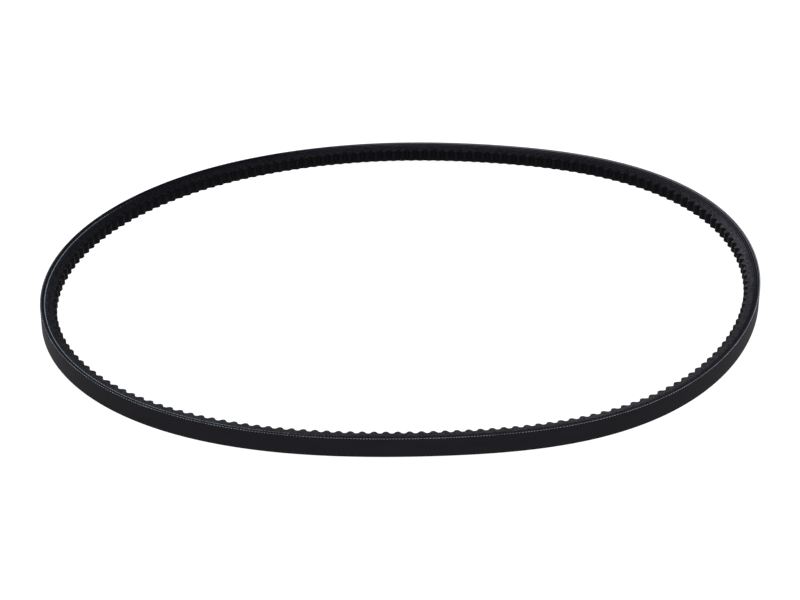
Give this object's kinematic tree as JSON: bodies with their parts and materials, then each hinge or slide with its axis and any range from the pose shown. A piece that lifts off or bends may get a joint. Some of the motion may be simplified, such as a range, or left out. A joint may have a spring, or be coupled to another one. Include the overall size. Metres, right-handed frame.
{
  "type": "cogged v-belt",
  "caption": "Cogged raw-edge V-belt: an endless wedge-section rubber loop with a fabric back, buried tensile cords and moulded cogs on its inside.",
  "frame": {"origin": "middle of the belt's outer box", "axes": "+Z along the pulley axes, across the belt; +X along the long way of the free oval; +Y across the oval"},
  "size_m": [0.4316, 0.3178, 0.02],
  "materials": {
    "back_fabric": "matt rubberised fabric, fine diagonal weave",
    "belt_rubber": "cut and moulded black rubber, satin",
    "tensile_cord": "twisted polyester cord, blue-grey",
    "adhesion_rubber": "cut black rubber, satin"
  },
  "bodies": {
    "run_01": {"back_fabric_01": "back_fabric", "overcord_rubber_01": "belt_rubber", "tensile_cords_01": "tensile_cord", "adhesion_rubber_01": "adhesion_rubber", "cog_rubber_01": "belt_rubber"},
    "run_02": {"back_fabric_02": "back_fabric", "overcord_rubber_02": "belt_rubber", "tensile_cords_02": "tensile_cord", "adhesion_rubber_02": "adhesion_rubber", "cog_rubber_02": "belt_rubber"},
    "run_03": {"back_fabric_03": "back_fabric", "overcord_rubber_03": "belt_rubber", "tensile_cords_03": "tensile_cord", "adhesion_rubber_03": "adhesion_rubber", "cog_rubber_03": "belt_rubber"},
    "run_04": {"back_fabric_04": "back_fabric", "overcord_rubber_04": "belt_rubber", "tensile_cords_04": "tensile_cord", "adhesion_rubber_04": "adhesion_rubber", "cog_rubber_04": "belt_rubber"},
    "run_05": {"back_fabric_05": "back_fabric", "overcord_rubber_05": "belt_rubber", "tensile_cords_05": "tensile_cord", "adhesion_rubber_05": "adhesion_rubber", "cog_rubber_05": "belt_rubber"},
    "run_06": {"back_fabric_06": "back_fabric", "overcord_rubber_06": "belt_rubber", "tensile_cords_06": "tensile_cord", "adhesion_rubber_06": "adhesion_rubber", "cog_rubber_06": "belt_rubber"},
    "run_07": {"back_fabric_07": "back_fabric", "overcord_rubber_07": "belt_rubber", "tensile_cords_07": "tensile_cord", "adhesion_rubber_07": "adhesion_rubber", "cog_rubber_07": "belt_rubber"},
    "run_08": {"back_fabric_08": "back_fabric", "overcord_rubber_08": "belt_rubber", "tensile_cords_08": "tensile_cord", "adhesion_rubber_08": "adhesion_rubber", "cog_rubber_08": "belt_rubber"},
    "run_09": {"back_fabric_09": "back_fabric", "overcord_rubber_09": "belt_rubber", "tensile_cords_09": "tensile_cord", "adhesion_rubber_09": "adhesion_rubber", "cog_rubber_09": "belt_rubber"},
    "run_10": {"back_fabric_10": "back_fabric", "overcord_rubber_10": "belt_rubber", "tensile_cords_10": "tensile_cord", "adhesion_rubber_10": "adhesion_rubber", "cog_rubber_10": "belt_rubber"},
    "run_11": {"back_fabric_11": "back_fabric", "overcord_rubber_11": "belt_rubber", "tensile_cords_11": "tensile_cord", "adhesion_rubber_11": "adhesion_rubber", "cog_rubber_11": "belt_rubber"}
  },
  "joints": [
    {"name": "bend_01", "type": "hinge", "parent": "run_01", "child": "run_02", "pos_m": [0.05648, -0.15169, 0], "axis": [0, 0, 1], "range_deg": [-7.4, 11.8], "stiffness_Nm_per_rad": 0.4},
    {"name": "bend_02", "type": "hinge", "parent": "run_02", "child": "run_03", "pos_m": [0.16469, -0.10502, 0], "axis": [0, 0, 1], "range_deg": [-2.8, 1.8], "stiffness_Nm_per_rad": 0.4},
    {"name": "bend_03", "type": "hinge", "parent": "run_03", "child": "run_04", "pos_m": [0.21246, -0.00431, 0], "axis": [0, 0, 1], "range_deg": [-16.7, 10.5], "stiffness_Nm_per_rad": 0.4},
    {"name": "bend_04", "type": "hinge", "parent": "run_04", "child": "run_05", "pos_m": [0.17211, 0.10438, 0], "axis": [0, 0, 1], "range_deg": [-4.7, 3], "stiffness_Nm_per_rad": 0.4},
    {"name": "bend_05", "type": "hinge", "parent": "run_05", "child": "run_06", "pos_m": [0.06363, 0.15175, 0], "axis": [0, 0, 1], "range_deg": [-7.5, 12], "stiffness_Nm_per_rad": 0.4},
    {"name": "bend_06", "type": "hinge", "parent": "run_06", "child": "run_07", "pos_m": [-0.05536, 0.14652, 0], "axis": [0, 0, 1], "range_deg": [-8, 12.8], "stiffness_Nm_per_rad": 0.4},
    {"name": "bend_07", "type": "hinge", "parent": "run_07", "child": "run_08", "pos_m": [-0.15928, 0.08858, 0], "axis": [0, 0, 1], "range_deg": [-5, 3.1], "stiffness_Nm_per_rad": 0.4},
    {"name": "bend_08", "type": "hinge", "parent": "run_08", "child": "run_09", "pos_m": [-0.21211, -0.00966, 0], "axis": [0, 0, 1], "range_deg": [-16.4, 10.3], "stiffness_Nm_per_rad": 0.4},
    {"name": "bend_09", "type": "hinge", "parent": "run_09", "child": "run_10", "pos_m": [-0.16886, -0.11621, 0], "axis": [0, 0, 1], "range_deg": [-2.9, 1.8], "stiffness_Nm_per_rad": 0.4},
    {"name": "bend_10", "type": "hinge", "parent": "run_10", "child": "run_11", "pos_m": [-0.05714, -0.15482, 0], "axis": [0, 0, 1], "range_deg": [-7.4, 11.7], "stiffness_Nm_per_rad": 0.4}
  ],
  "couplings": [
    {"joint": "bend_02", "follows": "bend_01", "ratio": -0.23129},
    {"joint": "bend_03", "follows": "bend_01", "ratio": -1.4072},
    {"joint": "bend_04", "follows": "bend_01", "ratio": -0.39757},
    {"joint": "bend_05", "follows": "bend_01", "ratio": 1.0128},
    {"joint": "bend_06", "follows": "bend_01", "ratio": 1.0773},
    {"joint": "bend_07", "follows": "bend_01", "ratio": -0.41809},
    {"joint": "bend_08", "follows": "bend_01", "ratio": -1.3835},
    {"joint": "bend_09", "follows": "bend_01", "ratio": -0.24066},
    {"joint": "bend_10", "follows": "bend_01", "ratio": 0.98822}
  ]
}
